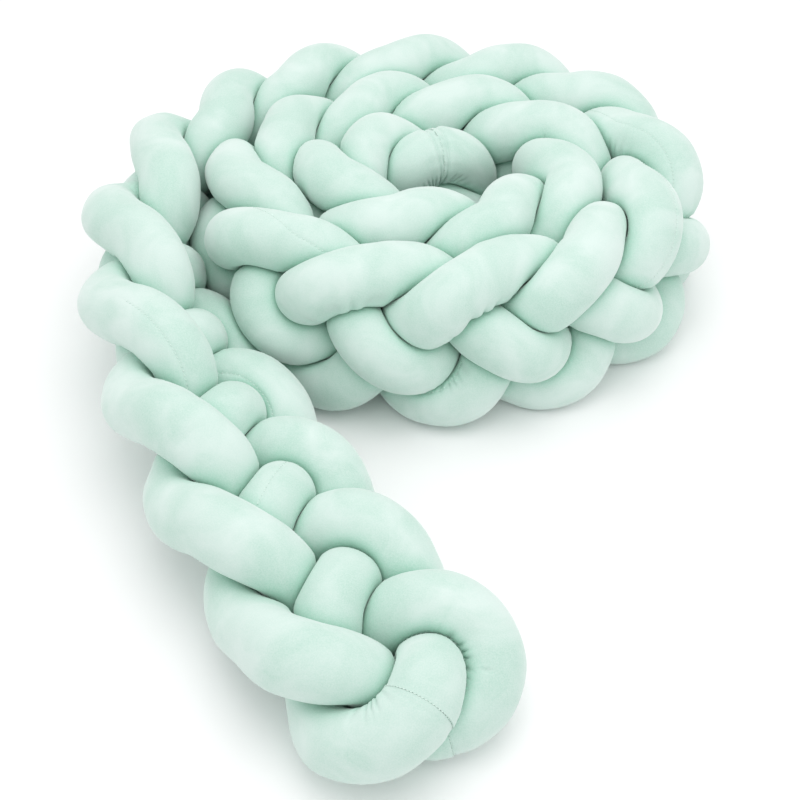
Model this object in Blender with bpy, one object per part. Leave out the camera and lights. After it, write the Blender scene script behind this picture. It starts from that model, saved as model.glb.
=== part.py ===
"""A plaited crib bumper: four stuffed velvet tubes laid as a flat four-strand plait.

The plait starts lying flat, turns on to its edge and winds clockwise into an oval
coil. At both ends the tubes are sewn end to end in pairs, so the four make one ring.

Places along the plait are told in stations: one station is one bulge of an edge.
"across" runs from the left edge (-1) to the right edge (+1), and "rise" from the
back (-1) to the face (+1). The right edge is the one that stands on the ground.
"""
from collections import namedtuple
from itertools import combinations_with_replacement
from math import cos, pi, radians, sin

import bpy
import numpy as np
from mathutils.bvhtree import BVHTree

# The plait, in metres
TUBE_RADIUS = 0.0389    # a tube where nothing presses on it
EDGE_REACH = 0.0706     # from the plait's middle to a tube's centre at its edge
LAP = 0.0297            # from the plait's mid-plane to a tube's centre where two cross
PITCH = 0.1426          # one station
EDGE_LAG = 0.36         # how far the right edge trails the left one, as a share of its distance
SWING_POINT = 0.010     # how pointed a tube's swing is at the edge: 0 is a plain wave, 0.11 a zigzag
REST_HEIGHT = 0.90      # height of a resting tube's centre, in radii: its underside is pressed flat

# The way the plait lies on the ground
ARM_RADIUS = 1.66       # bend of the arm
EASING = 0.335          # length over which the coil's bend passes into the arm's
COIL_START = 6.57       # station
COIL_HEADING = radians(77.8)
COIL_RADIUS = 0.3288    # bend of the outer turn
COIL_CLOSING = 0.0952   # what the bend's radius loses in one turn
COIL_RELAXING = -0.0039     # and what it gains by the square of the turns
COIL_OVAL = 0.258       # how much flatter than round the coil is
OVAL_GAIN = 0.031       # what the oval gains in one turn
OVAL_TURN = radians(8.8)    # heading of the oval's long sides
SKEW_X, SKEW_Y = 0.010, 0.006       # how much wider the coil bends where it heads along +X or +Y
FIRST_STATION, LAST_STATION = -1.0, 30.5
LEAN_START, LEAN_END = -0.03, 8.90  # stations between which the plait turns on to its edge
OVERLEAN = radians(3.7)     # how far past upright it then leans

# Stuffing and contact
CONTACT = 0.0647        # nearest that two tubes' centres come to each other
SWELL = 1.03            # most that a squeezed tube swells elsewhere
BLEND = 0.008           # softness of the edge of a pressed flat
GAP = 0.0004            # left between tubes that touch
OWN_STRETCH = 2.6       # radii along a tube within which it isn't pushed away from itself

# Laying: each round makes up a share of what two tubes lack in distance, and eases the bends
STEP = 0.012            # between points of a centre line
WALKS = 20              # steps of the route in one station
WOVEN_POINTS = 12       # points of the woven line in one station
FAIR_BEFORE = 4         # smoothing passes over the woven line
SETTLE_ROUNDS = 60
SEARCH_EVERY = 10       # rounds between searches for tubes that lie near each other
SEARCH_MARGIN = 0.02
PUSH, EVENING, STIFFNESS, RETURN = 0.8, 0.02, 0.25, 0.02
FAIR_AFTER = 6          # and over the settled one
FILL_ROUNDS = 6
FILL_PACE = 0.35        # exponent with which a squeezed section swells towards its full area

# Resolution of the solids
SIDES = 12
RING_SPACING = 0.080    # in a straight stretch; rings are closer in a bend
BEND_WEIGHT = 0.055     # metres of straight stretch that one radian of bend counts for
PARTING_ROUNDS = 80
PARTING_STEP = 0.0004   # taken off a radius where two skins cut each other
SWELL_RINGS = 5         # rings over which the swelling is evened out
SHARP_ANGLE = radians(60)

Via = namedtuple("Via", "station across rise")
Join = namedtuple("Join", "way_in seam way_out")

# Where two tubes are sewn end to end. way_in leads from the first tube to the seam,
# and way_out on into the second.
ARM_RIGHT = Join([Via(0.48, 0.50, -0.15), Via(0.44, 0.26, -0.63)], Via(0.42, 0.22, -0.79),
                 [Via(0.69, -0.09, -0.08), Via(0.89, -0.85, 1.09), Via(1.27, -1.26, 0.37)])
ARM_LEFT = Join([Via(0.54, -1.30, -0.80), Via(0.46, -1.06, -0.24), Via(0.24, -0.97, 0.12),
                 Via(0.21, -0.58, 0.80)], Via(0.29, -0.26, 0.71), [])
CENTRE_TOP = Join([Via(28.30, -0.14, -0.35), Via(28.28, -0.55, 0.72)],
                  Via(27.82, -1.00, 1.19), [Via(27.67, -1.15, 1.09), Via(27.28, -0.53, 1.07)])
CENTRE_FOOT = Join([Via(27.26, -0.73, -0.04), Via(27.61, -0.53, -0.74), Via(28.02, -0.34, -0.11),
                    Via(28.39, 0.04, 0.98), Via(28.80, 0.40, 0.60)],
                   Via(28.80, 0.80, 0.10), [])

# Round the ring. strand numbers the tubes by their order in the plait.
Tube = namedtuple("Tube", "name strand first_station last_station before after")
TUBES = (
    Tube("tube_1", 1, 28.45, 0.55, CENTRE_FOOT, ARM_RIGHT),
    Tube("tube_2", 2, 1.62, 28.33, ARM_RIGHT, CENTRE_TOP),
    Tube("tube_3", 3, 27.51, 0.98, CENTRE_TOP, ARM_LEFT),
    Tube("tube_4", 0, 0.47, 26.95, ARM_LEFT, CENTRE_FOOT),
)

COLLECTION = "crib_bumper"
COLOUR = (0.665, 0.871, 0.767, 1.0)     # linear, pale mint
ROUGHNESS = 0.9


def smooth_step(share):
    """0 to 1 with level ends."""
    share = np.clip(share, 0, 1)
    return share * share * (3 - 2 * share)


def plan_route():
    """Rows of station, x, y and heading: the plait's middle line on the ground."""
    walk = PITCH / WALKS
    forward = []
    x, y, heading, turned = 0.0, 0.0, COIL_HEADING, 0.0
    station = COIL_START
    while station < LAST_STATION:
        forward.append((station, x, y, heading))
        turns = turned / (2 * pi)
        radius = COIL_RADIUS - COIL_CLOSING * turns + COIL_RELAXING * turns ** 2
        oval = (COIL_OVAL + OVAL_GAIN * turns) * cos(2 * (heading - OVAL_TURN))
        bend = walk / (radius * (1 + oval + SKEW_X * cos(heading) + SKEW_Y * sin(heading)))
        heading -= bend
        turned += bend
        x += walk * cos(heading + bend / 2)
        y += walk * sin(heading + bend / 2)
        station += walk / PITCH
    backward = []
    x, y, heading, station = 0.0, 0.0, COIL_HEADING, COIL_START
    while station > FIRST_STATION:
        arm_share = smooth_step((COIL_START - station) * PITCH / EASING)
        bend = walk * ((1 - arm_share) / COIL_RADIUS + arm_share / ARM_RADIUS)
        heading += bend
        x -= walk * cos(heading - bend / 2)
        y -= walk * sin(heading - bend / 2)
        station -= walk / PITCH
        backward.append((station, x, y, heading))
    return np.array(backward[::-1] + forward)


ROUTE = plan_route()


def place(stations, across, rise):
    """World points of places told in stations, across and rise."""
    x, y, heading = (np.interp(stations, ROUTE[:, 0], ROUTE[:, k]) for k in (1, 2, 3))
    lean = (pi / 2 + OVERLEAN) * smooth_step((stations - LEAN_START) / (LEAN_END - LEAN_START))
    none = np.zeros_like(x)
    along = np.column_stack([np.cos(heading), np.sin(heading), none])
    left = np.column_stack([-np.sin(heading), np.cos(heading), none])
    up = np.array([0.0, 0.0, 1.0])
    to_left_edge = np.cos(lean)[:, None] * left + np.sin(lean)[:, None] * up
    to_face = np.cos(lean)[:, None] * up - np.sin(lean)[:, None] * left
    middle_height = np.sin(lean) * EDGE_REACH + np.cos(lean) * LAP + TUBE_RADIUS * REST_HEIGHT
    middle = np.column_stack([x, y, middle_height])
    reach = EDGE_REACH * np.asarray(across)[:, None]
    to_face = to_face * LAP * np.asarray(rise)[:, None]
    return middle - to_left_edge * reach + to_face - along * EDGE_LAG * reach


def weave(stations, strand):
    """Across and rise of one strand of the plait.

    A strand swings from edge to edge in four stations. Each way it crosses the
    three others, over and under by turns, and it passes the edge level.
    """
    eighth = (stations + 0.5 + strand) * 2
    crossing = np.array([1, 2, 3, 5, 6, 7, 9])
    rise = np.array([-1, 1, -1, 1, -1, 1, -1])
    eighth = eighth - 8 * np.floor((eighth - 1) / 8)
    before = np.searchsorted(crossing, eighth, side="right") - 1
    before = np.clip(before, 0, 5)
    share = (eighth - crossing[before]) / (crossing[before + 1] - crossing[before])
    height = rise[before] + (rise[before + 1] - rise[before]) * (1 - np.cos(pi * share)) / 2
    across = np.cos(eighth * pi / 4) + SWING_POINT * np.cos(3 * eighth * pi / 4)
    return -across / (1 + SWING_POINT), height


def evenly(points, step):
    """The same line with even steps, and its last point left out."""
    run = np.concatenate([[0], np.cumsum(np.linalg.norm(np.diff(points, axis=0), axis=1))])
    count = int(round(run[-1] / step))
    at = np.linspace(0, run[-1], count + 1)[:-1]
    return np.column_stack([np.interp(at, run, points[:, k]) for k in range(3)])


def via_points(vias):
    return place(*np.array(vias, float).reshape(-1, 3).T)


def tube_line(tube):
    """Centre line of one tube, from seam to seam, before the tubes settle."""
    count = int(abs(tube.last_station - tube.first_station) * WOVEN_POINTS)
    stations = np.linspace(tube.first_station, tube.last_station, count)
    woven = place(stations, *weave(stations, tube.strand))
    start, end = tube.before, tube.after
    points = np.vstack([
        via_points([start.seam] + start.way_out), woven, via_points(end.way_in + [end.seam])])
    return evenly(points, STEP)


def neighbours_mean(line):
    return (np.roll(line, 1, axis=0) + np.roll(line, -1, axis=0)) / 2


def fair(line, passes):
    for _ in range(passes):
        line = (line + neighbours_mean(line)) / 2
    return line


def settle(line):
    """Push the closed line's stretches apart to CONTACT, and fair its bends."""
    count = len(line)
    line = fair(line, FAIR_BEFORE)
    home = line.copy()
    beside = int(round(OWN_STRETCH * TUBE_RADIUS / STEP))
    for turn in range(SETTLE_ROUNDS):
        if turn % SEARCH_EVERY == 0:
            distance = np.linalg.norm(line[:, None] - line[None], axis=2)
            first, second = np.nonzero(np.triu(distance < CONTACT + SEARCH_MARGIN))
            apart = second - first
            far = (apart >= beside) & (apart <= count - beside)
            first, second = first[far], second[far]
        between = line[first] - line[second]
        distance = np.linalg.norm(between, axis=1)
        lack = np.maximum(0, CONTACT - distance)
        push = between * (lack / distance)[:, None]
        total = np.zeros_like(line)
        np.add.at(total, first, push)
        np.add.at(total, second, -push)
        touched = np.bincount(np.concatenate([first[lack > 0], second[lack > 0]]), minlength=count)
        line = line + PUSH * total / np.maximum(1, touched)[:, None]
        bend = neighbours_mean(line) - line
        line = line + EVENING * bend - STIFFNESS * (neighbours_mean(bend) - bend)
        line = line + RETURN * (home - line)
        line[:, 2] = np.maximum(line[:, 2], TUBE_RADIUS * REST_HEIGHT)
    return fair(line, FAIR_AFTER)


def on_closed_line(line, at):
    """Smooth points of a closed line; at counts its points."""
    whole = np.floor(at).astype(int)
    t = (at - whole)[:, None]
    a, b, c, d = (line[(whole + k) % len(line)] for k in (-1, 0, 1, 2))
    return b + t / 2 * (c - a + t * (2 * a - 5 * b + 4 * c - d + t * (3 * (b - c) + d - a)))


def directions(line, at):
    """Unit tangents of a closed line; at counts its points."""
    along = on_closed_line(line, at + 0.5) - on_closed_line(line, at - 0.5)
    return along / np.linalg.norm(along, axis=1)[:, None]


def frames(along):
    """Two directions across a line that never twist about it."""
    side = np.zeros_like(along)
    last = np.array([0.0, 0.0, 1.0])
    for k, direction in enumerate(along):
        last = last - direction * (last @ direction)
        last = last / np.linalg.norm(last)
        side[k] = last
    return side, np.cross(along, side)


def soft_min(a, b, softness):
    share = np.clip(0.5 + 0.5 * (b - a) / softness, 0, 1)
    return b * (1 - share) + a * share - softness * share * (1 - share)


def limits(points, rays, run, line, line_run, total_run):
    """How far each ray reaches before it is nearer to another stretch of the line."""
    reach = 2.04 * TUBE_RADIUS * SWELL
    limit = np.full(rays.shape[:2], 1.0)
    for k, point in enumerate(points):
        offset = line - point
        squared = (offset ** 2).sum(axis=1)
        away = np.abs(line_run - run[k])
        away = np.minimum(away, total_run - away)
        near = (squared < reach * reach) & (away > STEP)
        facing = np.maximum(rays[k] @ offset[near].T, 1e-6)
        if near.any():
            limit[k] = (squared[near] / (2 * facing)).min(axis=1)
    return limit - GAP / 2


def fill_out(limit, sides):
    """Radii of a stuffed tube: pressed flat at its limits and swollen between them."""
    wanted = pi * TUBE_RADIUS ** 2
    free = np.full(len(limit), TUBE_RADIUS)
    for _ in range(FILL_ROUNDS):
        radii = soft_min(free[:, None], limit, BLEND)
        area = 0.5 * (radii * np.roll(radii, -1, axis=1)).sum(axis=1) * sin(2 * pi / sides)
        free = np.clip(free * (wanted / area) ** FILL_PACE, TUBE_RADIUS, TUBE_RADIUS * SWELL)
        free = np.pad(free, SWELL_RINGS // 2, mode="edge")
        free = np.convolve(free, np.full(SWELL_RINGS, 1 / SWELL_RINGS), mode="valid")
    return soft_min(free[:, None], limit, BLEND)


def ring_places(line, first, last):
    """Places of a tube's rings along the closed line: closer together in its bends."""
    fine = np.arange(first, last + 0.01, 0.25)
    length = np.linalg.norm(np.diff(on_closed_line(line, fine), axis=0), axis=1)
    turn = np.linalg.norm(np.diff(directions(line, fine), axis=0), axis=1)
    pace = np.concatenate([[0], np.cumsum(length + BEND_WEIGHT * turn)])
    count = int(round(pace[-1] / RING_SPACING))
    return np.interp(np.linspace(0, pace[-1], count + 1), pace, fine)


def tube_rings(line, first, last):
    """Centres, rays and radii of one tube's rings."""
    at = ring_places(line, first, last)
    points = on_closed_line(line, at)
    along = directions(line, at)
    side, other = frames(along)
    points[0] += along[0] * GAP / 2
    points[-1] -= along[-1] * GAP / 2
    angle = np.arange(SIDES) / SIDES * 2 * pi
    rays = np.cos(angle)[None, :, None] * side[:, None] + np.sin(angle)[None, :, None] * other[:, None]
    fine = np.arange(0, len(line), 0.5)
    fine_line = on_closed_line(line, fine)
    limit = limits(points, rays, at * STEP, fine_line, fine * STEP, len(line) * STEP)
    to_ground = points[:, None, 2] / np.maximum(-rays[:, :, 2], 1e-6)
    return points, rays, np.minimum(fill_out(limit, SIDES), to_ground)


def skin_faces(ring_count):
    """Quads round the tube and one flat face at each end."""
    faces = []
    for ring in range(ring_count - 1):
        for side in range(SIDES):
            a, b = ring * SIDES + side, ring * SIDES + (side + 1) % SIDES
            faces.append((a, b, b + SIDES, a + SIDES))
    faces.append(tuple(reversed(range(SIDES))))
    faces.append(tuple(range((ring_count - 1) * SIDES, ring_count * SIDES)))
    return faces


def triangles(faces):
    split = []
    for face in faces:
        for k in range(1, len(face) - 1):
            split.append((face[0], face[k], face[k + 1]))
    return split


def part_tubes(rings):
    """Draw in the radii until no two skins cut each other, nor a skin itself."""
    for _ in range(PARTING_ROUNDS):
        trees, corners = [], []
        for points, rays, radii in rings:
            skin = points[:, None] + rays * (radii + GAP / 2)[:, :, None]
            faces = triangles(skin_faces(len(points)))
            trees.append(BVHTree.FromPolygons(skin.reshape(-1, 3).tolist(), faces))
            corners.append(faces)
        cut = [np.zeros(radii.size, bool) for _, _, radii in rings]
        for a, b in combinations_with_replacement(range(len(rings)), 2):
            for face_a, face_b in trees[a].overlap(trees[b]):
                if a == b and set(corners[a][face_a]) & set(corners[b][face_b]):
                    continue
                cut[a][list(corners[a][face_a])] = True
                cut[b][list(corners[b][face_b])] = True
        if not any(mark.any() for mark in cut):
            break
        for (_, _, radii), mark in zip(rings, cut):
            radii[mark.reshape(radii.shape)] -= PARTING_STEP
    return rings


def velvet(name):
    material = bpy.data.materials.new(name)
    material.use_nodes = True
    shader = material.node_tree.nodes["Principled BSDF"]
    shader.inputs["Base Color"].default_value = COLOUR
    shader.inputs["Roughness"].default_value = ROUGHNESS
    return material


def add_tube(name, skin, collection):
    mesh = bpy.data.meshes.new(name)
    mesh.from_pydata(skin.reshape(-1, 3).tolist(), [], skin_faces(len(skin)))
    mesh.shade_smooth()
    mesh.set_sharp_from_angle(angle=SHARP_ANGLE)
    mesh.materials.append(velvet(name + "_velvet"))
    collection.objects.link(bpy.data.objects.new(name, mesh))


def main():
    for old in list(bpy.data.objects):
        bpy.data.objects.remove(old)
    collection = bpy.data.collections.new(COLLECTION)
    bpy.context.scene.collection.children.link(collection)

    lines = [tube_line(tube) for tube in TUBES]
    ends = np.cumsum([0] + [len(line) for line in lines])
    line = settle(np.vstack(lines))
    rings = [tube_rings(line, first, last) for first, last in zip(ends, ends[1:])]
    skins = [points[:, None] + rays * radii[:, :, None] for points, rays, radii in part_tubes(rings)]

    corners = np.vstack([skin.reshape(-1, 3) for skin in skins])
    low, high = corners.min(axis=0), corners.max(axis=0)
    origin = np.array([(low[0] + high[0]) / 2, (low[1] + high[1]) / 2, low[2]])
    for tube, skin in zip(TUBES, skins):
        add_tube(tube.name, skin - origin, collection)


main()
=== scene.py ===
"""A plaited crib bumper: four stuffed tubes of mint crystal velvet over their CAD solids.

The tubes are laid, pressed together and filled out by the same rule as the solids, with
finer skins, and then get what a sewn and stuffed tube shows: a long seam, cross seams where
two tubes are joined, gathers beside the seams, folds inside the tight bends and a lumpy filling.

Places along the plait are told in stations: one station is one bulge of an edge.
"across" runs from the left edge (-1) to the right edge (+1), and "rise" from the
back (-1) to the face (+1). The right edge is the one that stands on the ground.
"""

from collections import namedtuple
from math import cos, pi, radians, sin

import bpy
import numpy as np
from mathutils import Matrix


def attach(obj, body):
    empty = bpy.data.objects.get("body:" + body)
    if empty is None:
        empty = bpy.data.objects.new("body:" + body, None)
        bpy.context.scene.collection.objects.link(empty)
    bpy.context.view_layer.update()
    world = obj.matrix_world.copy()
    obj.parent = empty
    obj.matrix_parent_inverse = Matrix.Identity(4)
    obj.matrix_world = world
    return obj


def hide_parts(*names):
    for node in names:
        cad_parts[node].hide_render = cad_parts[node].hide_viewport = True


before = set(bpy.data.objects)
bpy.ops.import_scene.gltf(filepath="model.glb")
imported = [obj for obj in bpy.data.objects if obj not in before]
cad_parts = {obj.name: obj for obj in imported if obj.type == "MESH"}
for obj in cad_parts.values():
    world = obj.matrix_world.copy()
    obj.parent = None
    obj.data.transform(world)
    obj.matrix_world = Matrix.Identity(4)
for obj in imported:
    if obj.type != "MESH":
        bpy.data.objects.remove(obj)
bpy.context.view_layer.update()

# The plait, in metres, as in the CAD
TUBE_RADIUS = 0.0389    # a tube where nothing presses on it
EDGE_REACH = 0.0706     # from the plait's middle to a tube's centre at its edge
LAP = 0.0297            # from the plait's mid-plane to a tube's centre where two cross
PITCH = 0.1426          # one station
EDGE_LAG = 0.36         # how far the right edge trails the left one, as a share of its distance
SWING_POINT = 0.010     # how pointed a tube's swing is at the edge: 0 is a plain wave, 0.11 a zigzag
REST_HEIGHT = 0.90      # height of a resting tube's centre, in radii: its underside is pressed flat

# The way the plait lies on the ground
ARM_RADIUS = 1.66       # bend of the arm
EASING = 0.335          # length over which the coil's bend passes into the arm's
COIL_START = 6.57       # station
COIL_HEADING = radians(77.8)
COIL_RADIUS = 0.3288    # bend of the outer turn
COIL_CLOSING = 0.0952   # what the bend's radius loses in one turn
COIL_RELAXING = -0.0039     # and what it gains by the square of the turns
COIL_OVAL = 0.258       # how much flatter than round the coil is
OVAL_GAIN = 0.031       # what the oval gains in one turn
OVAL_TURN = radians(8.8)    # heading of the oval's long sides
SKEW_X, SKEW_Y = 0.010, 0.006       # how much wider the coil bends where it heads along +X or +Y
FIRST_STATION, LAST_STATION = -1.0, 30.5
LEAN_START, LEAN_END = -0.03, 8.90  # stations between which the plait turns on to its edge
OVERLEAN = radians(3.7)     # how far past upright it then leans

# Stuffing and contact
CONTACT = 0.0647        # nearest that two tubes' centres come to each other
SWELL = 1.03            # most that a squeezed tube swells elsewhere
BLEND = 0.008           # softness of the edge of a pressed flat
GAP = 0.0004            # left between tubes that touch
OWN_STRETCH = 2.6       # radii along a tube within which it isn't pushed away from itself

# Laying: each round makes up a share of what two tubes lack in distance, and eases the bends
STEP = 0.012            # between points of a centre line
WALKS = 20              # steps of the route in one station
WOVEN_POINTS = 12       # points of the woven line in one station
FAIR_BEFORE = 4         # smoothing passes over the woven line
SETTLE_ROUNDS = 60
SEARCH_EVERY = 10       # rounds between searches for tubes that lie near each other
SEARCH_MARGIN = 0.02
PUSH, EVENING, STIFFNESS, RETURN = 0.8, 0.02, 0.25, 0.02    # shares made up in one round
FAIR_AFTER = 6          # and over the settled one
FILL_ROUNDS = 6
FILL_PACE = 0.35        # exponent with which a squeezed section swells towards its full area

# The sewn skin, in metres
SEAM_DEPTH = 0.0011     # how far the long seam sinks
SEAM_WIDTH = 0.0026     # from the seam to where the pile closes over it
SHOWN_DEPTH = 0.35      # share of that depth from which the seam's stitches show
RUFFLE = 0.0007         # gathers beside the long seam
RUFFLE_SPACING = 0.011
RUFFLE_REACH = 0.007    # from the seam to where they have faded
RUFFLE_DRIFT = 0.031    # run over which their spacing wanders
LUMP = 0.0008           # wander of the filling
LUMP_WAVE, SMALL_LUMP_WAVE = 0.11, 0.045
FOLD = 0.0022           # folds on the inside of a tight bend
FOLD_SPACING = 0.021
FOLD_DRIFT_WAVE = 0.09  # wave over which they wander
FOLD_START, FOLD_EASE = 0.42, 0.40  # squeeze at which they start, and until they are full
CROSS_WIDTH = 0.0030    # from a cross seam to where the pile closes over it
CROSS_LINE_WIDTH = 0.0013   # half width of the stitched line beside it
CROSS_SWELL_WIDTH = 0.005   # half width of the swell beyond that line
CROSS_SPACING = 0.012   # between the gathers that run into a cross seam
CROSS_REACH = 0.014     # from the cross seam to where they have faded
PUCKER_DRIFT = 0.007    # run over which the spacing of a row of gathers wanders
WAVES = 14              # waves that add up to one wander
FIRST_SEED = 40         # of tube_1's chances; each further tube has the next one
ROOM = 0.004            # free space beside a neighbour that lets the velvet stand out fully
CREASE_SHADE_REACH = 0.008    # how far from a neighbour the painted crease shade still reaches

# The stitches, in metres
THREAD = 0.0014
THREAD_RAISE = 0.0003   # of a stitch's middle over the velvet
THREAD_SLANT = radians(20)
LOWEST_STITCH = 0.001   # height of a stitch's middle over the ground, at least
StitchRow = namedtuple("StitchRow", "name lines spacing bite")

SHARP_ANGLE = radians(65)   # sharper edges are shaded as edges: only the tubes' ends are

Via = namedtuple("Via", "station across rise")
Join = namedtuple("Join", "way_in seam way_out")

# Where two tubes are sewn end to end. way_in leads from the first tube to the seam,
# and way_out on into the second.
ARM_RIGHT = Join([Via(0.48, 0.50, -0.15), Via(0.44, 0.26, -0.63)], Via(0.42, 0.22, -0.79),
                 [Via(0.69, -0.09, -0.08), Via(0.89, -0.85, 1.09), Via(1.27, -1.26, 0.37)])
ARM_LEFT = Join([Via(0.54, -1.30, -0.80), Via(0.46, -1.06, -0.24), Via(0.24, -0.97, 0.12),
                 Via(0.21, -0.58, 0.80)], Via(0.29, -0.26, 0.71), [])
CENTRE_TOP = Join([Via(28.30, -0.14, -0.35), Via(28.28, -0.55, 0.72)],
                  Via(27.82, -1.00, 1.19), [Via(27.67, -1.15, 1.09), Via(27.28, -0.53, 1.07)])
CENTRE_FOOT = Join([Via(27.26, -0.73, -0.04), Via(27.61, -0.53, -0.74), Via(28.02, -0.34, -0.11),
                    Via(28.39, 0.04, 0.98), Via(28.80, 0.40, 0.60)],
                   Via(28.80, 0.80, 0.10), [])

# Round the ring. strand numbers the tubes by their order in the plait.
Tube = namedtuple("Tube", "name strand first_station last_station before after")
TUBES = (
    Tube("tube_1", 1, 28.45, 0.55, CENTRE_FOOT, ARM_RIGHT),
    Tube("tube_2", 2, 1.62, 28.33, ARM_RIGHT, CENTRE_TOP),
    Tube("tube_3", 3, 27.51, 0.98, CENTRE_TOP, ARM_LEFT),
    Tube("tube_4", 0, 0.47, 26.95, ARM_LEFT, CENTRE_FOOT),
)

# How a cross seam shows, in metres: the joint and the stitched line beside it both sink a little,
# the velvet between them swells, and gathers run into it from both sides
CrossSeam = namedtuple("CrossSeam", "joint line_away line swell gather")
ARM_RIGHT_SEAM = CrossSeam(0.0005, 0.0060, 0.0004, 0.0005, 0.0009)
ARM_LEFT_SEAM = CrossSeam(0.0003, 0.0060, 0.0003, 0.0004, 0.0004)
CENTRE_TOP_SEAM = CrossSeam(0.0008, 0.0048, 0.0028, 0.0014, 0.0026)
CENTRE_FOOT_SEAM = CrossSeam(0.0014, 0.0060, 0.0004, 0.0004, 0.0008)
SeamsOf = namedtuple("SeamsOf", "first last")
CROSS_SEAMS = {
    "tube_1": SeamsOf(CENTRE_FOOT_SEAM, ARM_RIGHT_SEAM),
    "tube_2": SeamsOf(ARM_RIGHT_SEAM, CENTRE_TOP_SEAM),
    "tube_3": SeamsOf(CENTRE_TOP_SEAM, ARM_LEFT_SEAM),
    "tube_4": SeamsOf(ARM_LEFT_SEAM, CENTRE_FOOT_SEAM),
}

# Where the long seam lies on its tube: degrees round it, at metres from its first end. depth is 0
# where the filling pulls it smooth and 1 where the tube's bends pinch it.
SeamTurn = namedtuple("SeamTurn", "run degrees depth")
FLAT = 0.12     # depth of a seam that hardly shows
SEAM_TURNS = {
    "tube_1": (SeamTurn(0.0, 200, FLAT), SeamTurn(0.4, 200, FLAT), SeamTurn(0.9, 60, FLAT),
               SeamTurn(2.15, 40, FLAT), SeamTurn(2.3, -60, 0.3), SeamTurn(2.37, -101, 1.0),
               SeamTurn(2.435, -132, 1.0), SeamTurn(2.5, -170, 0.3), SeamTurn(2.6, -225, FLAT),
               SeamTurn(4.9, -225, FLAT), SeamTurn(5.15, -290, FLAT), SeamTurn(5.32, -334, 0.5),
               SeamTurn(5.36, -340, 0.5), SeamTurn(5.44, -300, FLAT)),
    "tube_2": (SeamTurn(0.0, 150, FLAT), SeamTurn(0.3, 150, FLAT), SeamTurn(0.385, 18, 1.0),
               SeamTurn(0.42, 14, 1.0), SeamTurn(0.47, 8, FLAT), SeamTurn(0.585, -8, 0.3),
               SeamTurn(0.61, -14, 1.0), SeamTurn(0.65, -17, 1.0), SeamTurn(0.7, -6, 1.0),
               SeamTurn(0.74, 0, 0.2), SeamTurn(1.0, 100, FLAT),
               SeamTurn(2.0, 160, FLAT), SeamTurn(2.4, 60, FLAT), SeamTurn(2.49, 20, 0.5),
               SeamTurn(2.54, 14, 1.0), SeamTurn(2.58, 3, 1.0), SeamTurn(2.64, 10, FLAT),
               SeamTurn(2.75, 60, FLAT), SeamTurn(3.0, 90, FLAT), SeamTurn(3.14, 84, FLAT),
               SeamTurn(3.2, 64, 0.4), SeamTurn(3.227, 62, 0.8), SeamTurn(3.256, 73, 0.8),
               SeamTurn(3.33, 170, FLAT), SeamTurn(3.6, 200, FLAT), SeamTurn(4.0, 290, FLAT),
               SeamTurn(4.8, 290, FLAT), SeamTurn(5.2, 250, FLAT), SeamTurn(5.44, 250, FLAT)),
    "tube_3": (SeamTurn(0.0, 180, FLAT), SeamTurn(1.5, 180, FLAT), SeamTurn(2.1, 240, FLAT),
               SeamTurn(2.7, 240, FLAT), SeamTurn(2.85, 90, 0.4), SeamTurn(2.93, 66, 0.8),
               SeamTurn(3.02, 67, 0.8), SeamTurn(3.1, 110, FLAT), SeamTurn(3.3, 180, FLAT),
               SeamTurn(3.7, 240, FLAT), SeamTurn(4.2, 240, FLAT), SeamTurn(4.45, 190, FLAT),
               SeamTurn(4.52, 186, FLAT), SeamTurn(4.56, 185, 0.8), SeamTurn(4.62, 186, 0.8),
               SeamTurn(4.7, 215, FLAT), SeamTurn(4.95, 290, FLAT), SeamTurn(5.1, 320, FLAT),
               SeamTurn(5.38, 340, FLAT)),
    "tube_4": (SeamTurn(0.0, 180, FLAT), SeamTurn(1.35, 200, FLAT), SeamTurn(2.1, 220, FLAT),
               SeamTurn(2.9, 240, FLAT), SeamTurn(3.6, 260, FLAT), SeamTurn(4.3, 290, FLAT),
               SeamTurn(5.1, 310, FLAT), SeamTurn(5.37, 310, FLAT)),
}

# Gathers and tucks: metres from the tube's first end and degrees round it, then sizes in metres:
# how far they reach along and round the tube, their depth and how far apart they are
Pucker = namedtuple("Pucker", "tube run degrees length width depth spacing")
PUCKERS = (
    Pucker("tube_1", 5.348, 14, 0.080, 0.016, 0.0027, 0.0120),
    Pucker("tube_1", 5.372, 338, 0.012, 0.010, 0.0018, 0.0200),
    Pucker("tube_3", 5.335, 168, 0.070, 0.024, 0.0030, 0.0130),
    Pucker("tube_3", 0.022, 246, 0.060, 0.020, 0.0032, 0.0090),
    Pucker("tube_2", 5.412, 34, 0.040, 0.015, 0.0026, 0.0095),
    Pucker("tube_3", 3.012, 10, 0.055, 0.028, 0.0025, 0.0120),
    Pucker("tube_3", 2.203, 164, 0.100, 0.024, 0.0042, 0.0200),
    Pucker("tube_3", 0.775, 26, 0.016, 0.014, 0.0024, 0.0200),
    Pucker("tube_4", 2.912, 333, 0.085, 0.024, 0.0040, 0.0180),
    Pucker("tube_4", 0.540, 345, 0.008, 0.040, 0.0012, 0.0400),
    Pucker("tube_1", 2.410, 244, 0.070, 0.016, 0.0022, 0.0110),
)

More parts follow.
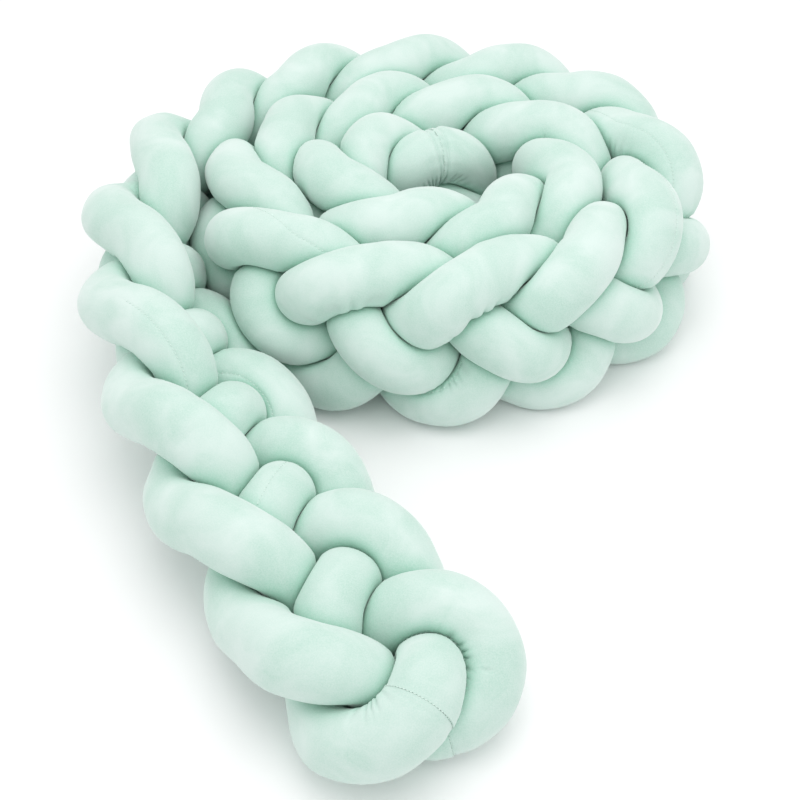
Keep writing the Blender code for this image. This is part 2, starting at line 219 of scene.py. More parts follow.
# Resolution of a skin. angles go round the tube from its seam, spacing is between rings on a
# straight stretch, bend_weight and end_weight draw rings into bends and ends, and a swell is
# evened out over swell_rings.
Skin = namedtuple("Skin", "angles spacing bend_weight end_weight swell_rings")
CAD_SKIN = Skin(np.arange(12) / 12 * 2 * pi, 0.080, 0.055, 0.0, 5)
SEAM_SIDES = np.array([0.0, 0.8, 1.6, 2.6, 4.0, 6.0, 8.5]) / 1000 / TUBE_RADIUS
EVEN_SIDES = np.linspace(SEAM_SIDES[-1], 2 * pi - SEAM_SIDES[-1], 58)
FINE_ANGLES = np.concatenate([SEAM_SIDES, EVEN_SIDES[1:], 2 * pi - SEAM_SIDES[-2:0:-1]])
FINE_SKIN = Skin(FINE_ANGLES, 0.0078, 0.01705, 0.06, 35)
GATHER_WEIGHT = 5.5     # how much closer the rings lie in a row of gathers
GATHER_MARGIN = 0.7     # and how far to each side of its middle, as a share of its length
END_REACH = 0.012       # and how far from a tube's end they lie closer


# ---- laying the tubes, as in the CAD

def smooth_step(share):
    """0 to 1 with level ends."""
    share = np.clip(share, 0, 1)
    return share * share * (3 - 2 * share)


def plan_route():
    """Rows of station, x, y and heading: the plait's middle line on the ground."""
    walk = PITCH / WALKS
    forward = []
    x, y, heading, turned = 0.0, 0.0, COIL_HEADING, 0.0
    station = COIL_START
    while station < LAST_STATION:
        forward.append((station, x, y, heading))
        turns = turned / (2 * pi)
        radius = COIL_RADIUS - COIL_CLOSING * turns + COIL_RELAXING * turns ** 2
        oval = (COIL_OVAL + OVAL_GAIN * turns) * cos(2 * (heading - OVAL_TURN))
        bend = walk / (radius * (1 + oval + SKEW_X * cos(heading) + SKEW_Y * sin(heading)))
        heading -= bend
        turned += bend
        x += walk * cos(heading + bend / 2)
        y += walk * sin(heading + bend / 2)
        station += walk / PITCH
    backward = []
    x, y, heading, station = 0.0, 0.0, COIL_HEADING, COIL_START
    while station > FIRST_STATION:
        arm_share = smooth_step((COIL_START - station) * PITCH / EASING)
        bend = walk * ((1 - arm_share) / COIL_RADIUS + arm_share / ARM_RADIUS)
        heading += bend
        x -= walk * cos(heading - bend / 2)
        y -= walk * sin(heading - bend / 2)
        station -= walk / PITCH
        backward.append((station, x, y, heading))
    return np.array(backward[::-1] + forward)


ROUTE = plan_route()


def place(stations, across, rise):
    """World points of places told in stations, across and rise."""
    x, y, heading = (np.interp(stations, ROUTE[:, 0], ROUTE[:, k]) for k in (1, 2, 3))
    lean = (pi / 2 + OVERLEAN) * smooth_step((stations - LEAN_START) / (LEAN_END - LEAN_START))
    none = np.zeros_like(x)
    along = np.column_stack([np.cos(heading), np.sin(heading), none])
    left = np.column_stack([-np.sin(heading), np.cos(heading), none])
    up = np.array([0.0, 0.0, 1.0])
    to_left_edge = np.cos(lean)[:, None] * left + np.sin(lean)[:, None] * up
    to_face = np.cos(lean)[:, None] * up - np.sin(lean)[:, None] * left
    middle_height = np.sin(lean) * EDGE_REACH + np.cos(lean) * LAP + TUBE_RADIUS * REST_HEIGHT
    middle = np.column_stack([x, y, middle_height])
    reach = EDGE_REACH * np.asarray(across)[:, None]
    to_face = to_face * LAP * np.asarray(rise)[:, None]
    return middle - to_left_edge * reach + to_face - along * EDGE_LAG * reach


def weave(stations, strand):
    """Across and rise of one strand of the plait.

    A strand swings from edge to edge in four stations. Each way it crosses the
    three others, over and under by turns, and it passes the edge level.
    """
    eighth = (stations + 0.5 + strand) * 2
    crossing = np.array([1, 2, 3, 5, 6, 7, 9])
    rise = np.array([-1, 1, -1, 1, -1, 1, -1])
    eighth = eighth - 8 * np.floor((eighth - 1) / 8)
    before = np.searchsorted(crossing, eighth, side="right") - 1
    before = np.clip(before, 0, 5)
    share = (eighth - crossing[before]) / (crossing[before + 1] - crossing[before])
    height = rise[before] + (rise[before + 1] - rise[before]) * (1 - np.cos(pi * share)) / 2
    across = np.cos(eighth * pi / 4) + SWING_POINT * np.cos(3 * eighth * pi / 4)
    return -across / (1 + SWING_POINT), height


def evenly(points, step):
    """The same line with even steps, and its last point left out."""
    run = np.concatenate([[0], np.cumsum(np.linalg.norm(np.diff(points, axis=0), axis=1))])
    count = int(round(run[-1] / step))
    at = np.linspace(0, run[-1], count + 1)[:-1]
    return np.column_stack([np.interp(at, run, points[:, k]) for k in range(3)])


def via_points(vias):
    """World points of a join's places."""
    return place(*np.array(vias, float).reshape(-1, 3).T)


def tube_line(tube):
    """Centre line of one tube, from seam to seam, before the tubes settle."""
    count = int(abs(tube.last_station - tube.first_station) * WOVEN_POINTS)
    stations = np.linspace(tube.first_station, tube.last_station, count)
    woven = place(stations, *weave(stations, tube.strand))
    start, end = tube.before, tube.after
    points = np.vstack([
        via_points([start.seam] + start.way_out), woven, via_points(end.way_in + [end.seam])])
    return evenly(points, STEP)


def neighbours_mean(line):
    """Middle of each point's two neighbours on a closed line."""
    return (np.roll(line, 1, axis=0) + np.roll(line, -1, axis=0)) / 2


def fair(line, passes):
    """A closed line with its unevenness smoothed out."""
    for _ in range(passes):
        line = (line + neighbours_mean(line)) / 2
    return line


def settle(line):
    """Push the closed line's stretches apart to CONTACT, and fair its bends."""
    count = len(line)
    line = fair(line, FAIR_BEFORE)
    home = line.copy()
    beside = int(round(OWN_STRETCH * TUBE_RADIUS / STEP))
    for turn in range(SETTLE_ROUNDS):
        if turn % SEARCH_EVERY == 0:
            distance = np.linalg.norm(line[:, None] - line[None], axis=2)
            first, second = np.nonzero(np.triu(distance < CONTACT + SEARCH_MARGIN))
            apart = second - first
            far = (apart >= beside) & (apart <= count - beside)
            first, second = first[far], second[far]
        between = line[first] - line[second]
        distance = np.linalg.norm(between, axis=1)
        lack = np.maximum(0, CONTACT - distance)
        push = between * (lack / distance)[:, None]
        total = np.zeros_like(line)
        np.add.at(total, first, push)
        np.add.at(total, second, -push)
        touched = np.bincount(np.concatenate([first[lack > 0], second[lack > 0]]), minlength=count)
        line = line + PUSH * total / np.maximum(1, touched)[:, None]
        bend = neighbours_mean(line) - line
        line = line + EVENING * bend - STIFFNESS * (neighbours_mean(bend) - bend)
        line = line + RETURN * (home - line)
        line[:, 2] = np.maximum(line[:, 2], TUBE_RADIUS * REST_HEIGHT)
    return fair(line, FAIR_AFTER)


def on_closed_line(line, at):
    """Smooth points of a closed line; at counts its points."""
    whole = np.floor(at).astype(int)
    t = (at - whole)[:, None]
    a, b, c, d = (line[(whole + k) % len(line)] for k in (-1, 0, 1, 2))
    return b + t / 2 * (c - a + t * (2 * a - 5 * b + 4 * c - d + t * (3 * (b - c) + d - a)))


def directions(line, at):
    """Unit tangents of a closed line; at counts its points."""
    along = on_closed_line(line, at + 0.5) - on_closed_line(line, at - 0.5)
    return along / np.linalg.norm(along, axis=1)[:, None]


def bends(line, at):
    """How the line bends: towards the bend's centre, in radians a metre."""
    return (directions(line, at + 0.75) - directions(line, at - 0.75)) / (1.5 * STEP)


def frames(along):
    """Two directions across a line that never twist about it."""
    side = np.zeros_like(along)
    last = np.array([0.0, 0.0, 1.0])
    for k, direction in enumerate(along):
        last = last - direction * (last @ direction)
        last = last / np.linalg.norm(last)
        side[k] = last
    return side, np.cross(along, side)


def carried_frames(line, at):
    """The same at given places, carried in quarter steps so that their spacing doesn't matter."""
    fine = np.arange(at[0], at[-1] + 0.3, 0.25)
    fine_side, _ = frames(directions(line, fine))
    along = directions(line, at)
    side = np.column_stack([np.interp(at, fine, fine_side[:, k]) for k in range(3)])
    side -= along * (side * along).sum(axis=1)[:, None]
    side /= np.linalg.norm(side, axis=1)[:, None]
    return side, np.cross(along, side)


# ---- filling the tubes out

def soft_min(a, b, softness):
    """The lesser of two values, passing smoothly from one to the other."""
    share = np.clip(0.5 + 0.5 * (b - a) / softness, 0, 1)
    return b * (1 - share) + a * share - softness * share * (1 - share)


def limits(points, rays, run, line, line_run, total_run):
    """How far each ray reaches before it is nearer to another stretch of the line."""
    reach = 2.04 * TUBE_RADIUS * SWELL  # a little over two swollen radii
    limit = np.full(rays.shape[:2], 1.0)
    for k, point in enumerate(points):
        offset = line - point
        squared = (offset ** 2).sum(axis=1)
        away = np.abs(line_run - run[k])
        away = np.minimum(away, total_run - away)
        near = (squared < reach * reach) & (away > STEP)
        facing = np.maximum(rays[k] @ offset[near].T, 1e-6)
        if near.any():
            limit[k] = (squared[near] / (2 * facing)).min(axis=1)
    return limit - GAP / 2


def fill_out(limit, skin):
    """Radii of a stuffed tube: pressed flat at its limits and swollen between them."""
    wanted = pi * TUBE_RADIUS ** 2
    sector = np.sin(np.diff(np.append(skin.angles, 2 * pi)))
    free = np.full(len(limit), TUBE_RADIUS)
    for _ in range(FILL_ROUNDS):
        radii = soft_min(free[:, None], limit, BLEND)
        area = 0.5 * (radii * np.roll(radii, -1, axis=1) * sector).sum(axis=1)
        free = np.clip(free * (wanted / area) ** FILL_PACE, TUBE_RADIUS, TUBE_RADIUS * SWELL)
        free = np.pad(free, skin.swell_rings // 2, mode="edge")
        free = np.convolve(free, np.full(skin.swell_rings, 1 / skin.swell_rings), mode="valid")
    return soft_min(free[:, None], limit, BLEND)


def ring_places(line, first, last, skin, gathers=()):
    """Places of a tube's rings on the closed line: closer in its bends, at its ends and in gathers."""
    fine = np.arange(first, last + 0.01, 0.25)
    length = np.linalg.norm(np.diff(on_closed_line(line, fine), axis=0), axis=1)
    turn = np.linalg.norm(np.diff(directions(line, fine), axis=0), axis=1)
    run = np.concatenate([[0], np.cumsum(length)])
    near_end = 2 - np.exp(-run / END_REACH) - (1 - np.exp((run - run[-1]) / END_REACH))
    pace = np.concatenate([[0], np.cumsum(length + skin.bend_weight * turn)])
    pace = pace + skin.end_weight * (near_end - near_end[0])
    for row in gathers:
        reach = GATHER_MARGIN * row.length
        pace = pace + GATHER_WEIGHT * np.clip((fine - first) * STEP - row.run + reach, 0, 2 * reach)
    pace = pace - pace[0]
    count = int(round(pace[-1] / skin.spacing))
    return np.interp(np.linspace(0, pace[-1], count + 1), pace, fine)


def ring_limits(line, at, points, rays):
    """The limits of a tube's rays against the whole closed line, taken at half steps."""
    fine = np.arange(0, len(line), 0.5)
    fine_line = on_closed_line(line, fine)
    return limits(points, rays, at * STEP, fine_line, fine * STEP, len(line) * STEP)


def rays_at(angles, side, other):
    """Unit rays at angles round each ring."""
    return np.cos(angles)[..., None] * side[:, None] + np.sin(angles)[..., None] * other[:, None]


def footprint_middle(line, ends):
    """Middle of the CAD's footprint on the route's ground, where the part has its origin."""
    corners = []
    for first, last in zip(ends, ends[1:]):
        at = ring_places(line, first, last, CAD_SKIN)
        points = on_closed_line(line, at)
        along = directions(line, at)
        side, other = frames(along)
        points[0] += along[0] * GAP / 2
        points[-1] -= along[-1] * GAP / 2
        rays = rays_at(np.broadcast_to(CAD_SKIN.angles, (len(at), len(CAD_SKIN.angles))), side, other)
        radii = fill_out(ring_limits(line, at, points, rays), CAD_SKIN)
        to_ground = points[:, None, 2] / np.maximum(-rays[:, :, 2], 1e-6)
        corners.append((points[:, None] + rays * np.minimum(radii, to_ground)[:, :, None]).reshape(-1, 3))
    corners = np.vstack(corners)
    low, high = corners.min(axis=0), corners.max(axis=0)
    return np.array([(low[0] + high[0]) / 2, (low[1] + high[1]) / 2, low[2]])


# ---- the sewn and stuffed skin

def valley(turns):
    """Sharp valleys between broad round backs, one a turn; 0 on the backs and 1 in the valleys."""
    return (1 - np.abs(np.sin(pi * turns))) ** 2


def wander(run, angle, wave, rng):
    """Smooth unevenness of about one over the surface of a tube, with bumps of about half a wave."""
    total = np.zeros(angle.shape)
    for _ in range(WAVES):
        length = wave * rng.uniform(0.6, 1.8)
        times_round = rng.integers(0, 4)
        total += np.sin(2 * pi * run[:, None] / length + times_round * angle + rng.uniform(0, 2 * pi))
    return total / np.sqrt(WAVES / 2)


def cross_seam_relief(look, distance, angle, rng):
    """One side of a cross seam: the sunk joint and stitched line, the swell and the gathers."""
    joint = -look.joint * np.exp(-distance / CROSS_WIDTH)
    line = -look.line * np.exp(-((distance - look.line_away) / CROSS_LINE_WIDTH) ** 2)
    swell_away = look.line_away + CROSS_SWELL_WIDTH
    swell = look.swell * np.exp(-((distance - swell_away) / CROSS_SWELL_WIDTH) ** 2)
    drift = 0.35 * np.sin(2 * angle + rng.uniform(0, 6)) + 0.25 * np.sin(5 * angle + rng.uniform(0, 6))
    gathers = valley(angle * TUBE_RADIUS / CROSS_SPACING + drift)
    uneven = 0.35 + 0.65 * (0.5 + 0.5 * np.sin(angle + rng.uniform(0, 6)))
    gathers = -look.gather * gathers * uneven * np.exp(-distance / CROSS_REACH)
    return joint + line + swell + gathers


def seam_relief(run, offset):
    """The long seam at its full depth, with the gathers beside it."""
    from_seam = np.abs(offset) * TUBE_RADIUS
    ruffle = 0.5 + 0.5 * np.sin(2 * pi * run / RUFFLE_SPACING + 2.0 * np.sin(run / RUFFLE_DRIFT))
    seam = -SEAM_DEPTH * np.exp(-from_seam / SEAM_WIDTH)
    return seam - RUFFLE * ruffle[:, None] * np.exp(-from_seam / RUFFLE_REACH)


def pucker_relief(row, run, angle):
    """One row of gathers, whose folds lie across the tube's run."""
    along = (run - row.run)[:, None]
    round_it = (np.mod(angle - radians(row.degrees) + pi, 2 * pi) - pi) * TUBE_RADIUS
    within = np.exp(-(along / (row.length / 2)) ** 4 - (round_it / (row.width / 2)) ** 2)
    drift = 0.25 * np.sin(along / PUCKER_DRIFT) + 0.15 * round_it / row.spacing
    turns = along / row.spacing + drift
    return -row.depth * within * (0.5 + 0.5 * np.cos(2 * pi * turns)) ** 2


def tube_relief(tube, run, angle, squeeze, seed):
    """How far the velvet stands out of the smooth filled tube or sinks into it, in metres."""
    rng = np.random.default_rng(seed)
    lumps = LUMP * wander(run, angle, LUMP_WAVE, rng)
    lumps += 0.35 * LUMP * wander(run, angle, SMALL_LUMP_WAVE, rng)
    drift = 0.9 * wander(run, angle, FOLD_DRIFT_WAVE, rng)
    depth = FOLD * smooth_step((squeeze - FOLD_START) / FOLD_EASE)
    folds = -depth * valley(run[:, None] / FOLD_SPACING + drift)
    seams = CROSS_SEAMS[tube.name]
    ends = cross_seam_relief(seams.first, run[:, None] - run[0], angle, rng)
    ends += cross_seam_relief(seams.last, run[-1] - run[:, None], angle, rng)
    return lumps + folds + ends


def seam_course(tube, run):
    """Angle and depth of a tube's long seam along its run."""
    turns = np.array(SEAM_TURNS[tube.name])
    angle = np.interp(run, turns[:, 0], np.radians(turns[:, 1]))
    return angle, np.interp(run, turns[:, 0], turns[:, 2])


def tube_skin(tube, line, first, last, seed):
    """One tube's fine skin, as rings by sides.

    Gives its points, their rays, the run of each ring and the painted crease shade at each point.
    """
    gathers = [row for row in PUCKERS if row.tube == tube.name]
    at = ring_places(line, first, last, FINE_SKIN, gathers)
    points = on_closed_line(line, at)
    along = directions(line, at)
    side, other = carried_frames(line, at)
    points[0] += along[0] * GAP / 2
    points[-1] -= along[-1] * GAP / 2
    run = (at - first) * STEP
    seam_angle, seam_depth = seam_course(tube, run)
    angle = seam_angle[:, None] + FINE_SKIN.angles
    rays = rays_at(angle, side, other)
    limit = ring_limits(line, at, points, rays)
    radii = fill_out(limit, FINE_SKIN)
    to_ground = points[:, None, 2] / np.maximum(-rays[:, :, 2], 1e-6)
    offset = np.mod(FINE_SKIN.angles + pi, 2 * pi) - pi
    offset = np.broadcast_to(offset, angle.shape)
    squeeze = radii * (rays @ bends(line, at)[:, :, None])[:, :, 0]
    relief = tube_relief(tube, run, angle, squeeze, seed)
    relief += seam_depth[:, None] * seam_relief(run, offset)
    for row in gathers:
        relief += pucker_relief(row, run, angle)
    room = np.clip((np.minimum(limit, to_ground) - radii) / ROOM, 0, 1)
    radii = np.minimum(radii + np.where(relief > 0, relief * room, relief), to_ground)
    # Painted crease shade: 1 against a neighbour, fading as room opens beside it, in place of the shade
    # there
    closed = np.exp(-np.maximum(limit - radii, 0) / CREASE_SHADE_REACH)
    return points[:, None] + rays * radii[:, :, None], rays, run, closed


def shown_seam(tube, skin, rays, run):
    """Lines of (points, outward) along the long seam, where the pile doesn't close over it."""
    _, depth = seam_course(tube, run)
    shown = np.flatnonzero(depth > SHOWN_DEPTH)
    stretches = np.split(shown, np.flatnonzero(np.diff(shown) > 1) + 1)
    return [(skin[rings, 0] + rays[rings, 0] * THREAD_RAISE, rays[rings, 0])
            for rings in stretches if len(rings) > 1]


def joint_line(skin, rays):
    """The line of (points, outward) round a tube's last end, over the middle of the joint."""
    round_end = np.append(np.arange(skin.shape[1]), 0)
    onward = skin[-1] - skin[-2]
    onward /= np.linalg.norm(onward, axis=1)[:, None]
    points = skin[-1] + onward * GAP / 2 + rays[-1] * THREAD_RAISE
    return points[round_end], rays[-1, round_end]


def skin_mesh(name, skin, closed):
    """A mesh of rings with its ends shut, and an attribute of painted crease shade."""
    rings, sides = skin.shape[:2]
    corner = np.arange(rings * sides).reshape(rings, sides)
    after = np.roll(corner, -1, axis=1)
    quads = np.stack([corner[:-1], after[:-1], after[1:], corner[1:]], axis=-1).reshape(-1, 4)
    points = np.vstack([skin.reshape(-1, 3), skin[0].mean(axis=0), skin[-1].mean(axis=0)])
    first_cap = [(rings * sides, corner[0, (k + 1) % sides], corner[0, k]) for k in range(sides)]
    last_cap = [(rings * sides + 1, corner[-1, k], corner[-1, (k + 1) % sides]) for k in range(sides)]
    mesh = bpy.data.meshes.new(name)
    mesh.from_pydata(points.tolist(), [], quads.tolist() + first_cap + last_cap)
    mesh.shade_smooth()
    mesh.set_sharp_from_angle(angle=SHARP_ANGLE)
    # The painted crease shade of every point, full at the middles of the two caps
    attribute = mesh.attributes.new("painted_crease_shade", "FLOAT", "POINT")
    attribute.data.foreach_set("value", np.append(closed.ravel(), [1.0, 1.0]))
    return mesh


def make_object(name, mesh, material):
    """One object of a mesh and its material, in the scene."""
    mesh.materials.append(material)
    made = bpy.data.objects.new(name, mesh)
    bpy.context.scene.collection.objects.link(made)
    return made


# ---- materials

def colour(hex_value):
    """Linear colour of an sRGB hex value such as D5F0E4."""
    channels = [int(hex_value[k:k + 2], 16) / 255 for k in (0, 2, 4)]
    linear = [c / 12.92 if c <= 0.04045 else ((c + 0.055) / 1.055) ** 2.4 for c in channels]
    return (*linear, 1.0)


def add_node(tree, kind, inputs=None, **settings):
    """One node with its settings. inputs go by name or place: a value, or a socket to link from."""
    node = tree.nodes.new(kind)
    for name, value in settings.items():
        setattr(node, name, value)
    for name, value in (inputs or {}).items():
        if isinstance(value, bpy.types.NodeSocket):
            tree.links.new(value, node.inputs[name])
        else:
            node.inputs[name].default_value = value
    return node


def blank_material(name):
    """A material with an empty node tree."""
    material = bpy.data.materials.new(name)
    material.use_nodes = True
    material.node_tree.nodes.clear()
    return material, material.node_tree


def crystal_velvet():
    """Crystal velvet: short polyester pile, knitted, shorn and heat-set.

    The dense upright pile drinks light face on and shines pale at grazing angles, and
    where a hand has brushed it the lying pile shows lighter or deeper patches.
    """
    material, tree = blank_material("crystal_velvet")
    space = add_node(tree, "ShaderNodeTexCoord").outputs["Object"]
    # Brushed patches, about 75 mm across, and smaller ones of 14 mm
    brushed = add_node(tree, "ShaderNodeTexNoise", {
        "Vector": space, "Scale": 1 / 0.075, "Detail": 3.0, "Roughness": 0.55, "Distortion": 0.6})
    patches = add_node(tree, "ShaderNodeTexNoise", {
        "Vector": space, "Scale": 1 / 0.014, "Detail": 2.0, "Roughness": 0.6})
    # The pile itself is 0.2 mm thick and too fine to show: it is drawn as grain of 1.6 mm
    pile = add_node(tree, "ShaderNodeTexNoise", {
        "Vector": space, "Scale": 1 / 0.0016, "Detail": 2.0, "Roughness": 0.7})
    tone = add_node(tree, "ShaderNodeMapRange", {
        "Value": brushed.outputs["Fac"], "From Min": 0.35, "From Max": 0.65})
    base = add_node(tree, "ShaderNodeMix", {
        "Factor": tone.outputs["Result"], "A": colour("B1D2C5"), "B": colour("CBDFD8")}, data_type="RGBA")
    # Painted crease shade: beside a neighbour the colour turns a deeper, greener mint, standing in for shade
    closed = add_node(tree, "ShaderNodeAttribute", attribute_name="painted_crease_shade")
    base = add_node(tree, "ShaderNodeMix", {
        "Factor": closed.outputs["Fac"], "A": base.outputs[2], "B": colour("A3D6C2")}, data_type="RGBA")
    grain = add_node(tree, "ShaderNodeMapRange", {
        "Value": pile.outputs["Fac"], "From Min": 0.3, "From Max": 0.7, "To Min": 0.0, "To Max": 0.45})
    grained = add_node(tree, "ShaderNodeMix", {
        "Factor": grain.outputs["Result"], "A": base.outputs[2], "B": colour("D8E6E0")}, data_type="RGBA")
    height = add_node(tree, "ShaderNodeMath", {
        0: pile.outputs["Fac"], 1: patches.outputs["Fac"]}, operation="ADD")
    bump = add_node(tree, "ShaderNodeBump", {
        "Height": height.outputs[0], "Strength": 0.35, "Distance": 0.0006})
    shader = add_node(tree, "ShaderNodeBsdfPrincipled", {
        "Base Color": grained.outputs[2], "Normal": bump.outputs["Normal"], "Roughness": 0.92,
        "IOR": 1.45, "Specular IOR Level": 0.15, "Sheen Weight": 0.5, "Sheen Roughness": 0.5,
        "Sheen Tint": colour("F8F8F8")})
    add_node(tree, "ShaderNodeOutputMaterial", {"Surface": shader.outputs["BSDF"]})
    return material


def spun_thread():
    """Spun polyester thread: twisted fibres with a faint gloss, dyed to match the velvet."""
    material, tree = blank_material("spun_polyester_thread")
    space = add_node(tree, "ShaderNodeTexCoord").outputs["Object"]
    twist = add_node(tree, "ShaderNodeTexNoise", {"Vector": space, "Scale": 1 / 0.0012, "Detail": 1.0})
    tone = add_node(tree, "ShaderNodeMix", {
        "Factor": twist.outputs["Fac"], "A": colour("C3DDD2"), "B": colour("DCEBE4")}, data_type="RGBA")
    shader = add_node(tree, "ShaderNodeBsdfPrincipled", {
        "Base Color": tone.outputs[2], "Roughness": 0.7, "IOR": 1.5, "Specular IOR Level": 0.3})
    add_node(tree, "ShaderNodeOutputMaterial", {"Surface": shader.outputs["BSDF"]})
    return material


def studio_floor():
    """Painted board, sprayed matt: even and without any gloss."""
    material, tree = blank_material("matt_painted_board")
    space = add_node(tree, "ShaderNodeTexCoord").outputs["Object"]
    cloudy = add_node(tree, "ShaderNodeTexNoise", {"Vector": space, "Scale": 1 / 0.8, "Detail": 2.0})
    tone = add_node(tree, "ShaderNodeMix", {
        "Factor": cloudy.outputs["Fac"], "A": colour("F6F7F7"), "B": colour("F8F9F9")}, data_type="RGBA")
    shader = add_node(tree, "ShaderNodeBsdfPrincipled", {
        "Base Color": tone.outputs[2], "Roughness": 1.0, "IOR": 1.45, "Specular IOR Level": 0.0})
    add_node(tree, "ShaderNodeOutputMaterial", {"Surface": shader.outputs["BSDF"]})
    return material


# ---- stitches, by Geometry Nodes

def stitch_tree():
    """Geometry Nodes tree that sews bites of thread along a line whose points carry "outward"."""
    tree = bpy.data.node_groups.new("stitches_along_seam", "GeometryNodeTree")
    tree.interface.new_socket(name="Seam", in_out="INPUT", socket_type="NodeSocketGeometry")
    for name in ("Spacing", "Bite", "Thread", "Slant"):
        tree.interface.new_socket(name=name, in_out="INPUT", socket_type="NodeSocketFloat")
    tree.interface.new_socket(name="Material", in_out="INPUT", socket_type="NodeSocketMaterial")
    tree.interface.new_socket(name="Stitches", in_out="OUTPUT", socket_type="NodeSocketGeometry")
    given = add_node(tree, "NodeGroupInput").outputs
    curve = add_node(tree, "GeometryNodeMeshToCurve", {"Mesh": given["Seam"]})
    spaced = add_node(tree, "GeometryNodeResampleCurve", {
        "Curve": curve.outputs["Curve"], "Length": given["Spacing"]}, mode="LENGTH")
    tangent = add_node(tree, "GeometryNodeInputTangent")
    outward = add_node(tree, "GeometryNodeInputNamedAttribute", {"Name": "outward"},
                       data_type="FLOAT_VECTOR")
    lie = add_node(tree, "FunctionNodeAxesToRotation", {
        "Primary Axis": outward.outputs["Attribute"], "Secondary Axis": tangent.outputs["Tangent"]},
        primary_axis="Z", secondary_axis="X")
    uneven = add_node(tree, "FunctionNodeRandomValue", {2: 0.7, 3: 1.3, "Seed": 7}, data_type="FLOAT")
    slant = add_node(tree, "ShaderNodeMath", {0: given["Slant"], 1: uneven.outputs[1]},
                     operation="MULTIPLY")
    turn = add_node(tree, "ShaderNodeCombineXYZ", {"Z": slant.outputs[0]})
    turned = add_node(tree, "FunctionNodeRotateRotation", {
        "Rotation": lie.outputs["Rotation"], "Rotate By": turn.outputs[0]}, rotation_space="LOCAL")
    bead = add_node(tree, "GeometryNodeMeshUVSphere", {"Segments": 6, "Rings": 4, "Radius": 0.5})
    size = add_node(tree, "ShaderNodeCombineXYZ", {
        "X": given["Bite"], "Y": given["Thread"], "Z": given["Thread"]})
    bite = add_node(tree, "GeometryNodeTransform", {
        "Geometry": bead.outputs["Mesh"], "Scale": size.outputs[0]})
    sewn = add_node(tree, "GeometryNodeInstanceOnPoints", {
        "Points": spaced.outputs["Curve"], "Instance": bite.outputs["Geometry"],
        "Rotation": turned.outputs["Rotation"]})
    whole = add_node(tree, "GeometryNodeRealizeInstances", {"Geometry": sewn.outputs["Instances"]})
    smooth = add_node(tree, "GeometryNodeSetShadeSmooth", {"Geometry": whole.outputs["Geometry"]})
    dyed = add_node(tree, "GeometryNodeSetMaterial", {
        "Geometry": smooth.outputs["Geometry"], "Material": given["Material"]})
    add_node(tree, "NodeGroupOutput", {"Stitches": dyed.outputs["Geometry"]})
    return tree


def sew(name, lines, tree, inputs):
    """Stitches along lines of (points, outward) as one plain mesh object."""
    points = np.vstack([line for line, _ in lines])
    points[:, 2] = np.maximum(points[:, 2], LOWEST_STITCH)
    outward = np.vstack([out for _, out in lines])
    starts = np.cumsum([0] + [len(line) for line, _ in lines])
    edges = [(k, k + 1) for a, b in zip(starts, starts[1:]) for k in range(a, b - 1)]
    mesh = bpy.data.meshes.new(name + "_line")
    mesh.from_pydata(points.tolist(), edges, [])
    attribute = mesh.attributes.new("outward", "FLOAT_VECTOR", "POINT")
    attribute.data.foreach_set("vector", outward.ravel())
    guide = bpy.data.objects.new(name + "_line", mesh)
    bpy.context.scene.collection.objects.link(guide)
    modifier = guide.modifiers.new("stitches", "NODES")
    modifier.node_group = tree
    for item in tree.interface.items_tree:
        if item.name in inputs:
            modifier[item.identifier] = inputs[item.name]
    evaluated = guide.evaluated_get(bpy.context.evaluated_depsgraph_get())
    sewn = bpy.data.meshes.new_from_object(evaluated)
    bpy.data.objects.remove(guide)
    bpy.data.meshes.remove(mesh)
    made = bpy.data.objects.new(name, sewn)
    bpy.context.scene.collection.objects.link(made)
    return made


# ---- the camera and the studio

def set_camera():
    """Looks down at the coil from in front, as the photograph does."""
    data = bpy.data.cameras.new("camera")
    data.sensor_width = 36
    data.lens = 59.76
    camera = bpy.data.objects.new("camera", data)
    camera.location = (-0.0028, -1.2804, 1.2376)
    camera.rotation_euler = (radians(90 - 44.127), 0, 0)
    bpy.context.scene.collection.objects.link(camera)
    bpy.context.scene.camera = camera


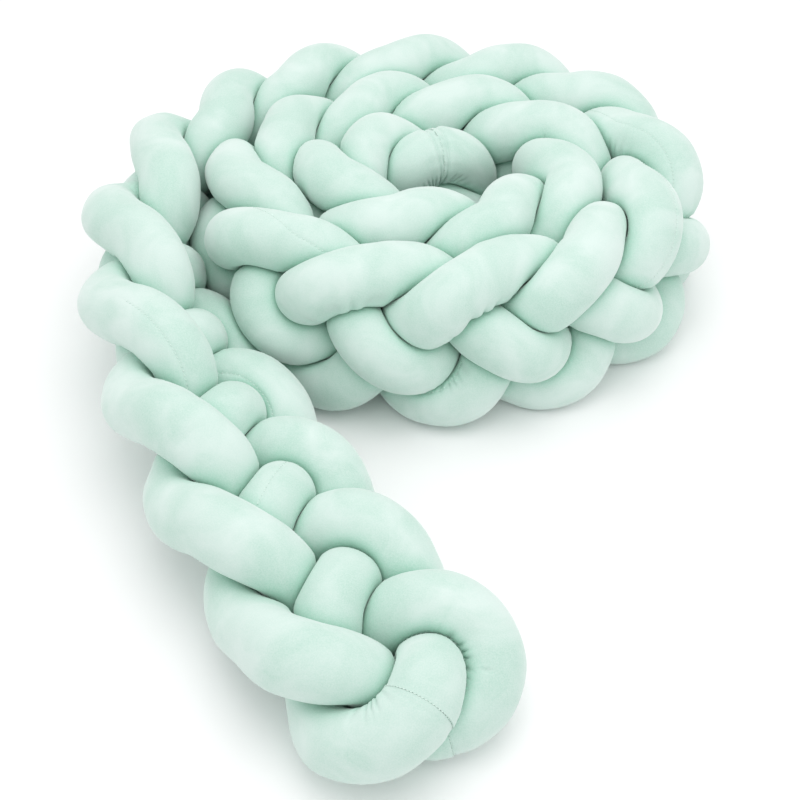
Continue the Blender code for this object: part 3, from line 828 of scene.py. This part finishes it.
def add_lamp(name, size, power, location, target, tint):
    """A round soft lamp of a given width, turned towards its target."""
    data = bpy.data.lights.new(name, "AREA")
    data.shape = "DISK"
    data.size = size
    data.energy = power
    data.color = colour(tint)[:3]
    lamp = bpy.data.objects.new(name, data)
    lamp.location = location
    away = np.array(location) - np.array(target)
    lamp.rotation_euler = (np.arctan2(np.hypot(away[0], away[1]), away[2]), 0, np.arctan2(away[0], -away[1]))
    bpy.context.scene.collection.objects.link(lamp)


def set_studio():
    """A wide pale floor under two broad soft lamps, with pale light all round."""
    half = 6.0
    mesh = bpy.data.meshes.new("floor")
    mesh.from_pydata([(-half, -half, 0), (half, -half, 0), (half, half, 0), (-half, half, 0)], [],
                     [(0, 1, 2, 3)])
    make_object("floor", mesh, studio_floor())
    world = bpy.data.worlds.new("studio")
    world.use_nodes = True
    world.node_tree.nodes["Background"].inputs["Color"].default_value = colour("FFFFFF")
    world.node_tree.nodes["Background"].inputs["Strength"].default_value = 0.95
    bpy.context.scene.world = world
    bpy.context.scene.view_settings.view_transform = "Standard"
    add_lamp("overhead", 2.2, 9, (0.0, 0.45, 2.0), (0.0, 0.2, 0.1), "FFF8FA")
    add_lamp("front", 1.2, 5, (0.15, -0.5, 1.5), (0.05, 0.2, 0.1), "FFF8FA")


# ---- making it

def main():
    set_camera()
    set_studio()

    lines = [tube_line(tube) for tube in TUBES]
    ends = np.cumsum([0] + [len(line) for line in lines])
    line = settle(np.vstack(lines))
    line = line - footprint_middle(line, ends)

    velvet = crystal_velvet()
    thread = spun_thread()
    tree = stitch_tree()
    long_seams = []
    cross_seams = []
    for number, tube in enumerate(TUBES):
        # closed is the painted crease shade at each point of the skin
        skin, rays, run, closed = tube_skin(tube, line, ends[number], ends[number + 1],
                                            FIRST_SEED + number)
        piece = make_object("velvet_" + tube.name, skin_mesh("velvet_" + tube.name, skin, closed), velvet)
        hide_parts(tube.name)
        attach(piece, "root")
        long_seams += shown_seam(tube, skin, rays, run)
        cross_seams.append(joint_line(skin, rays))

    for row in (StitchRow("long_seam_stitches", long_seams, 0.0055, 0.0030),
                StitchRow("cross_seam_stitches", cross_seams, 0.0042, 0.0037)):
        stitches = sew(row.name, row.lines, tree, {
            "Spacing": row.spacing, "Bite": row.bite, "Thread": THREAD, "Slant": THREAD_SLANT,
            "Material": thread})
        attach(stitches, "root")


main()
bpy.context.view_layer.update()
